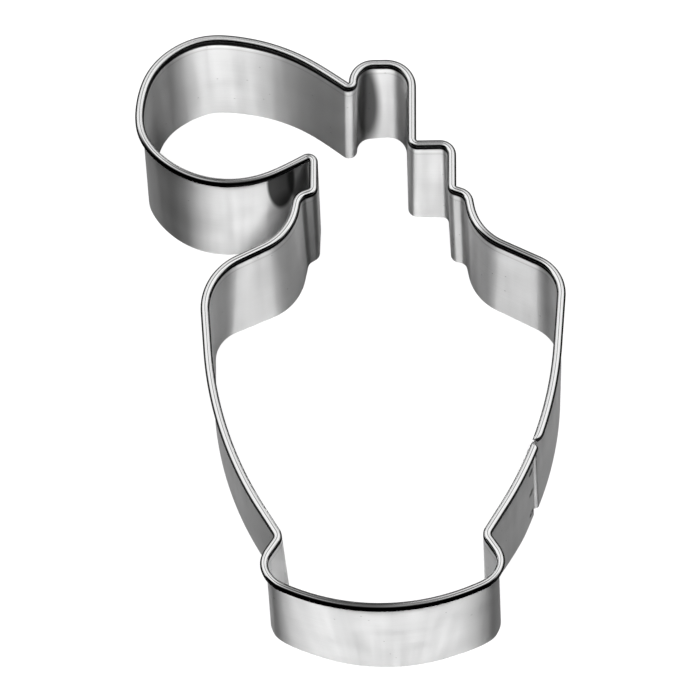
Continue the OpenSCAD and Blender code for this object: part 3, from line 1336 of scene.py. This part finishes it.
def path_object(
    name: str, stations: Sequence[Station], shift: Vector
) -> bpy.types.Object:
    """Make an object whose mesh is a path, with its stations' facts as attributes.

    Args:
        name: the object's name.
        stations: the stations along the path, in millimetres.
        shift: the shift that centres the outline, in millimetres.

    Returns:
        The object, linked to the scene.
    """
    mesh = bpy.data.meshes.new(name)
    points = [((s.top + shift) * MM).to_3d() for s in stations]
    mesh.from_pydata(points, [(i, i + 1) for i in range(len(points) - 1)], [])
    facts = {
        "out": [s.out.to_3d() for s in stations],
        "edge_set": [((s.edge - s.top) * MM).to_3d() for s in stations],
        "along": [s.along * MM for s in stations],
        "bead": [s.bead for s in stations],
        "rise": [s.rise * s.height for s in stations],
    }
    for key, values in facts.items():
        plain = isinstance(values[0], float)
        kind, slot = ("FLOAT", "value") if plain else ("FLOAT_VECTOR", "vector")
        data = mesh.attributes.new(key, kind, "POINT").data
        for item, value in zip(data, values):
            setattr(item, slot, value)
    return placed(name, mesh)


def outward(mesh: bpy.types.Mesh, merge: float = 1e-7) -> None:
    """Merge doubled points and turn all faces outwards.

    Args:
        mesh: the mesh.
        merge: the distance below which two points are one.
    """
    bm = bmesh.new()
    bm.from_mesh(mesh)
    bmesh.ops.remove_doubles(bm, verts=bm.verts, dist=merge)
    bmesh.ops.dissolve_degenerate(bm, edges=bm.edges, dist=merge)
    bmesh.ops.recalc_face_normals(bm, faces=bm.faces)
    bm.to_mesh(mesh)
    bm.free()


def dress(
    obj: bpy.types.Object, part: Part, sharp: float
) -> bpy.types.Object:
    """Make an object's evaluated geometry its plain mesh and hang it on the frame.

    Args:
        obj: the object, which holds the path or the nugget, with its modifier.
        part: the node that it stands for.
        sharp: the angle past which an edge is shaded sharp, in degrees.

    Returns:
        The object.
    """
    depsgraph = bpy.context.evaluated_depsgraph_get()
    mesh = bpy.data.meshes.new_from_object(obj.evaluated_get(depsgraph))
    mesh.name = obj.name
    obj.modifiers.clear()
    outward(mesh)
    obj.data = mesh
    mesh.shade_smooth()
    mesh.set_sharp_from_angle(angle=math.radians(sharp))
    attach(obj, BODY)
    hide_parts(part.value)
    return obj


@dataclass
class Wall:
    """Upright wall of the strip, with the bores that the welds fill.

    Its lengths are in millimetres, and the sharp angle is in degrees.
    """

    strip: Strip
    finish: bpy.types.Material
    carry: bpy.types.NodeTree
    edge_round: float = 0.06
    edge_steps: int = 3
    bore_sides: int = 40
    bore_length: float = 4.0
    sharp: float = 40.0

    def tree(self) -> ModifierTree:
        """Build the tree that raises the wall on its path and bores it.

        Returns:
            The tree with its inputs' values.
        """
        start, pitch, turn = self.strip.weld_row()
        m = modifier_tree("wall_of_strip", "Path", {
            "Sheet": ("Float", self.strip.sheet * MM),
            "Height": ("Float", self.strip.wall_h * MM),
            "Edge round": ("Float", self.edge_round * MM),
            "Weld count": ("Int", self.strip.weld_count),
            "Weld diameter": ("Float", self.strip.weld_d * MM),
            "Weld start": ("Vector", start),
            "Weld pitch": ("Vector", pitch),
            "Weld turn": ("Rotation", turn),
            "Finish": ("Material", self.finish),
        })
        t = m.tree
        i = t.node("NodeGroupInput").outputs
        upright = t.node(
            "GeometryNodeCurvePrimitiveQuadrilateral",
            {"Width": i["Sheet"], "Height": i["Height"]},
            mode="RECTANGLE",
        ).outputs[0]
        rounded = t.node(
            "GeometryNodeFilletCurve",
            {"Curve": upright, "Radius": i["Edge round"], "Count": self.edge_steps},
            mode="POLY",
        ).outputs[0]
        place = t.parts(t.position())
        up = t.math("MULTIPLY_ADD", i["Height"], 0.5, place["Y"])
        section = t.section(rounded, place["X"], up, up)
        wall = t.node(
            "GeometryNodeGroup",
            {"Path": i["Path"], "Section": section, "Full height": i["Height"]},
            node_tree=self.carry,
        ).outputs[0]
        drill = t.node(
            "GeometryNodeMeshCylinder",
            {"Vertices": self.bore_sides, "Radius": t.mul(i["Weld diameter"], 0.5),
             "Depth": self.bore_length * MM},
        ).outputs[0]
        bores = t.row(
            drill, i["Weld count"], i["Weld start"], i["Weld pitch"], i["Weld turn"]
        )
        cut = t.node(
            "GeometryNodeMeshBoolean",
            {"Mesh 1": wall, "Mesh 2": bores},
            operation="DIFFERENCE",
            solver="EXACT",
        ).outputs[0]
        m.finish(t.realized(cut), i["Finish"])
        return m

    def build(self) -> bpy.types.Object:
        """Build the wall and hang it on the frame.

        Returns:
            The finished piece.
        """
        obj = path_object("strip_wall", self.strip.wall_path(), self.strip.shift)
        self.tree().put_on(obj)
        return dress(obj, Part.WALL, self.sharp)


@dataclass
class Rim:
    """Rolled rim on the wall's top edge. The sharp angle is in degrees."""

    strip: Strip
    finish: bpy.types.Material
    carry: bpy.types.NodeTree
    steps: int = 26
    sharp: float = 50.0

    def tree(self) -> ModifierTree:
        """Build the tree that rolls the rim's section and carries it along the path.

        Returns:
            The tree with its inputs' values.
        """
        m = modifier_tree("rim_of_strip", "Path", {
            "Rim diameter": ("Float", self.strip.rim_d * MM),
            "Sheet": ("Float", self.strip.sheet * MM),
            "Curl": ("Float", math.radians(self.strip.rim_curl)),
            "Height": ("Float", self.strip.wall_h * MM),
            "Finish": ("Material", self.finish),
        })
        t = m.tree
        i = t.node("NodeGroupInput").outputs
        points = 2 * self.steps
        ring = t.node("GeometryNodeCurvePrimitiveCircle", {"Resolution": points})
        index = t.node("GeometryNodeInputIndex").outputs[0]
        # The first half of the points runs round the outer face, the rest comes back.
        back = t.math("GREATER_THAN", index, self.steps - 0.5)
        forth = t.sub(points - 1.0, index)
        step = t.add(t.mul(index, t.sub(1.0, back)), t.mul(forth, back))
        share = t.math("DIVIDE", step, self.steps - 1.0)
        angle = t.sub(math.pi, t.mul(share, i["Curl"]))
        outer = t.mul(i["Rim diameter"], 0.5)
        radius = t.sub(outer, t.mul(i["Sheet"], back))
        middle = t.math("MULTIPLY_ADD", i["Sheet"], -0.5, outer)
        out = t.add(middle, t.mul(radius, t.math("COSINE", angle)))
        up = t.mul(radius, t.math("SINE", angle))
        # Runs from 0 at the wall to 2 at the outermost point, and 1 on the crest.
        run = t.math("DIVIDE", t.sub(math.pi, angle), math.pi / 2)
        rim = t.node(
            "GeometryNodeGroup",
            {
                "Path": i["Path"],
                "Section": t.section(ring.outputs[0], out, up, run),
                "Full height": i["Height"],
                "Base height": i["Height"],
                "Inner face": t.mul(i["Sheet"], -0.5),
            },
            node_tree=self.carry,
        )
        m.finish(t.realized(rim.outputs[0]), i["Finish"])
        return m

    def build(self) -> bpy.types.Object:
        """Build the rim and hang it on the frame.

        Returns:
            The finished piece.
        """
        obj = path_object("strip_rim", self.strip.rim_path(), self.strip.shift)
        self.tree().put_on(obj)
        return dress(obj, Part.RIM, self.sharp)


@dataclass
class Welds:
    """Weld nuggets, each with a raised lip and a dish pressed into both ends.

    The lip's height is in millimetres, the places of the dish and the lip are shares
    of the nugget's radius, and the sharp angle is in degrees.
    """

    strip: Strip
    finish: bpy.types.Material
    rings: int = 7
    around: int = 40
    dish_to: float = 0.85
    lip_from: float = 0.6
    lip: float = 0.02
    sharp: float = 60.0

    def profile(self) -> list[tuple[float, float]]:
        """Trace a nugget's section, in millimetres.

        Returns:
            The points' radii and heights, from the upper end's middle to the lower's.
        """
        strip = self.strip
        points: list[tuple[float, float]] = []
        for k in range(self.rings + 1):
            share = k / self.rings
            dish = strip.weld_dish * (1.0 - smooth_step(share / self.dish_to))
            on_lip = min(max((share - self.lip_from) / (1.0 - self.lip_from), 0.0), 1.0)
            top = strip.sheet + strip.lap_gap / 2 - dish
            top += self.lip * math.sin(math.pi * on_lip)
            points.append((share * strip.weld_d / 2, top))
        return points + [(r, -z) for r, z in reversed(points)]

    def nugget(self) -> bpy.types.Mesh:
        """Turn one nugget around the Z axis.

        Returns:
            Its mesh.
        """
        bm = bmesh.new()
        rings = []
        for r, z in self.profile():
            sides = self.around if r > TINY else 1
            rings.append([
                bm.verts.new((
                    r * MM * math.cos(math.tau * j / sides),
                    r * MM * math.sin(math.tau * j / sides),
                    z * MM,
                ))
                for j in range(sides)
            ])
        for a, b in zip(rings, rings[1:]):
            for j in range(self.around):
                k = (j + 1) % self.around
                corners = [a[j % len(a)], a[k % len(a)], b[k % len(b)], b[j % len(b)]]
                corners = list(dict.fromkeys(corners))
                if len(corners) > 2:
                    bm.faces.new(corners)
        mesh = bpy.data.meshes.new("weld_nugget")
        bm.to_mesh(mesh)
        bm.free()
        return mesh

    def tree(self) -> ModifierTree:
        """Build the tree that puts a copy of the nugget at each weld.

        Returns:
            The tree with its inputs' values.
        """
        start, pitch, turn = self.strip.weld_row()
        m = modifier_tree("row_of_welds", "Nugget", {
            "Count": ("Int", self.strip.weld_count),
            "Start": ("Vector", start),
            "Pitch": ("Vector", pitch),
            "Turn": ("Rotation", turn),
            "Finish": ("Material", self.finish),
        })
        t = m.tree
        i = t.node("NodeGroupInput").outputs
        plain = t.row(i["Nugget"], i["Count"], i["Start"], i["Pitch"], i["Turn"])
        place = t.parts(t.position())
        m.finish(t.mapped(plain, place["Y"], place["Z"]), i["Finish"])
        return m

    def build(self) -> bpy.types.Object:
        """Build the nuggets and hang them on the frame.

        Returns:
            The finished piece.
        """
        obj = placed("weld_nuggets", self.nugget())
        self.tree().put_on(obj)
        return dress(obj, Part.WELDS, self.sharp)


# ---------------------------------------------------------------------------
# Floor, light and camera
# ---------------------------------------------------------------------------


def plate(name: str, half: float, height: float) -> bpy.types.Object:
    """Lay a level square sheet.

    Args:
        name: the object's name.
        half: half of its side.
        height: the height that it lies at.

    Returns:
        The object, linked to the scene.
    """
    mesh = bpy.data.meshes.new(name)
    corners = ((-half, -half), (half, -half), (half, half), (-half, half))
    mesh.from_pydata([(x, y, height) for x, y in corners], [], [(0, 1, 2, 3)])
    return placed(name, mesh)


@dataclass(frozen=True)
class Card:
    """A curved card round the table, which only the steel sees.

    The azimuth is in degrees from the front, anticlockwise from above, and the rise
    holds the elevations of its rows of points. The radius is in metres.
    """

    name: str
    azimuth: tuple[float, float]
    rise: tuple[float, ...]
    tone: float
    radius: float = 1.9
    steps: int = 24

    def build(self) -> bpy.types.Object:
        """Bend the card.

        Returns:
            The object, linked to the scene.
        """
        rows = len(self.rise)
        first, last = self.azimuth
        verts, faces = [], []
        for k in range(self.steps + 1):
            a = math.radians(first + (last - first) * k / self.steps)
            for elevation in self.rise:
                e = math.radians(elevation)
                verts.append((
                    self.radius * math.sin(a) * math.cos(e),
                    -self.radius * math.cos(a) * math.cos(e),
                    self.radius * math.sin(e),
                ))
        for k in range(self.steps):
            for low in range(rows * k, rows * k + rows - 1):
                faces.append((low, low + 1, low + rows + 1, low + rows))
        mesh = bpy.data.meshes.new(self.name)
        mesh.from_pydata(verts, [], faces)
        return placed(self.name, mesh)


@dataclass(frozen=True)
class Softbox:
    """A soft rectangular lamp: metres, and watts."""

    name: str
    place: Triple
    target: Triple
    size: tuple[float, float]
    power: float

    def build(self, *flagged: bpy.types.Object) -> None:
        """Hang the lamp, and keep its glare off some objects, as a flag would.

        Args:
            flagged: the objects that it doesn't light.
        """
        data = bpy.data.lights.new(self.name, "AREA")
        data.shape = "RECTANGLE"
        data.size, data.size_y = self.size
        data.energy = self.power
        obj = placed(self.name, data)
        obj.location = self.place
        aim = Vector(self.target) - Vector(self.place)
        obj.rotation_euler = aim.to_track_quat("-Z", "Y").to_euler()
        if flagged:
            held = bpy.data.collections.new(f"{self.name}_flagged")
            for piece in flagged:
                held.objects.link(piece)
            for entry in held.collection_objects:
                entry.light_linking.link_state = "EXCLUDE"
            obj.light_linking.receiver_collection = held


@dataclass
class Studio:
    """White floor and surroundings, softboxes, and cards that only the steel sees."""

    floor_half: float = 3.0
    floor_height: float = -0.00005
    floor_colour: float = 0.22
    floor_glow: float = 0.8
    room: float = 0.2
    table_half: float = 1.9
    table_height: float = -0.00002
    table_tone: float = 0.02
    cards: tuple[Card, ...] = (
        Card("card_front", (-80, 80), (0, 54), 0.0),
        Card("card_right", (80, 125), (0, 14), 0.0),
        Card("card_back", (125, 235), (0, 50), 0.12),
        Card("card_left", (-80, -125), (0, 14), 0.1),
        Card("tent", (0, 360), (0, 30, 60, 90), 0.28, radius=2.2),
    )
    sides: tuple[Softbox, ...] = (
        Softbox("softbox_left", (-0.43, 0.65, 0.55), (0, 0.65, 0), (1.6, 0.83), 3.0),
        Softbox("softbox_right", (0.43, 0.55, 0.55), (0, 0.55, 0), (1.8, 0.83), 3.3),
    )
    front: Softbox = Softbox(
        "softbox_front", (0, -0.60, 1.5), (0, 0, 0), (1.2, 0.4), 38.0
    )
    # The camera doesn't see the faces that this one lights.
    back: Softbox = Softbox(
        "softbox_back", (0, 1.60, 0.60), (0, 0, 0), (1.8, 0.7), 60.0
    )

    def background_rays(self, t: Tree) -> Any:
        """Pick the rays that should see the background as plain white.

        Args:
            t: the tree of the floor's material or of the world.

        Returns:
            The socket that is 1 for them and 0 for the rest.
        """
        rays = t.node("ShaderNodeLightPath").outputs
        seen = t.math("MAXIMUM", rays["Is Camera Ray"], rays["Is Glossy Ray"])
        return t.math("MAXIMUM", seen, rays["Is Transmission Ray"])

    def floor(self) -> bpy.types.Object:
        """Lay the floor just under the cutting edge.

        Returns:
            The floor.
        """
        obj = plate("floor", self.floor_half, self.floor_height)
        material = bpy.data.materials.new("floor_white")
        t = Tree.emptied(material)
        grey = (self.floor_colour,) * 3 + (1.0,)
        matt = t.node("ShaderNodeBsdfDiffuse", {"Color": grey}).outputs[0]
        glow = t.node(
            "ShaderNodeEmission", {"Color": (1, 1, 1, 1), "Strength": self.floor_glow}
        ).outputs[0]
        white = t.node("ShaderNodeAddShader", {0: matt, 1: glow}).outputs[0]
        seen = self.background_rays(t)
        mix = t.node("ShaderNodeMixShader", {0: seen, 1: matt, 2: white})
        t.node("ShaderNodeOutputMaterial", {"Surface": mix.outputs[0]})
        obj.data.materials.append(material)
        return obj

    def world(self) -> None:
        """White surroundings to the eye and in the steel, soft grey as light."""
        world = bpy.data.worlds.new("studio")
        bpy.context.scene.world = world
        t = Tree.emptied(world)
        seen = self.background_rays(t)
        strength = t.math("MULTIPLY_ADD", seen, 1.0 - self.room, self.room)
        back = t.node(
            "ShaderNodeBackground", {"Color": (1, 1, 1, 1), "Strength": strength}
        )
        t.node("ShaderNodeOutputWorld", {"Surface": back.outputs[0]})

    def hide(self, obj: bpy.types.Object, tone: float) -> None:
        """Finish a card: an even grey that only reflections see.

        Args:
            obj: the card.
            tone: its grey.
        """
        material = bpy.data.materials.new(obj.name)
        t = Tree.emptied(material)
        glow = t.node(
            "ShaderNodeEmission", {"Color": (tone, tone, tone, 1.0), "Strength": 1.0}
        )
        t.node("ShaderNodeOutputMaterial", {"Surface": glow.outputs[0]})
        obj.data.materials.append(material)
        obj.visible_camera = False
        obj.visible_diffuse = False
        obj.visible_shadow = False

    def build(self, rim: bpy.types.Object) -> None:
        """Set up the floor, the surroundings, the cards and the lamps.

        Args:
            rim: the rolled rim, which the front and the back lamp don't light.
        """
        floor = self.floor()
        self.world()
        table = plate("card_table", self.table_half, self.table_height)
        self.hide(table, self.table_tone)
        for card in self.cards:
            self.hide(card.build(), card.tone)
        for lamp in self.sides:
            lamp.build()
        self.front.build(rim)
        self.back.build(rim, floor)
        bpy.context.scene.view_settings.view_transform = "Standard"


@dataclass
class Eye:
    """Camera at the photograph's place, in degrees, millimetres and pixels."""

    elevation: float = 66.0
    yaw: float = 4.987
    roll: float = -5.286
    target_x: float = -0.615
    target_y: float = 5.362
    distance: float = 907.72
    focal_px: float = 6000.0
    frame_px: float = 700.0
    sensor: float = 36.0
    nearest: float = 50.0
    farthest: float = 20000.0

    def build(self) -> None:
        """Make the camera and set it as the scene's own."""
        e, a, r = (math.radians(v) for v in (self.elevation, self.yaw, self.roll))
        ahead = Vector((
            -math.sin(a) * math.cos(e), math.cos(a) * math.cos(e), -math.sin(e)
        ))
        level = Vector((math.cos(a), math.sin(a), 0.0))
        upright = level.cross(ahead)
        right = math.cos(r) * level + math.sin(r) * upright
        up = -math.sin(r) * level + math.cos(r) * upright
        data = bpy.data.cameras.new("eye")
        data.sensor_width = self.sensor
        data.lens = self.focal_px / self.frame_px * self.sensor
        data.clip_start, data.clip_end = self.nearest * MM, self.farthest * MM
        obj = placed("eye", data)
        place = Vector((self.target_x, self.target_y, 0.0)) - ahead * self.distance
        turn = Matrix((right, up, -ahead)).transposed().to_4x4()
        obj.matrix_world = Matrix.Translation(place * MM) @ turn
        bpy.context.scene.camera = obj


def main() -> None:
    """Build the cutter, its stage and the camera."""
    logging.basicConfig(level=logging.INFO, format="%(name)s %(message)s")
    strip = Strip()
    grain = RollingGrain().build()
    carry = carry_group()
    wall = Wall(strip, WALL_STEEL.build(grain), carry).build()
    rim = Rim(strip, RIM_STEEL.build(grain), carry).build()
    welds = Welds(strip, WELD_STEEL.build(grain)).build()
    for piece in (wall, rim, welds):
        log.info("%s: %d faces", piece.name, len(piece.data.polygons))
    Studio().build(rim)
    Eye().build()


if __name__ == "__main__":
    main()
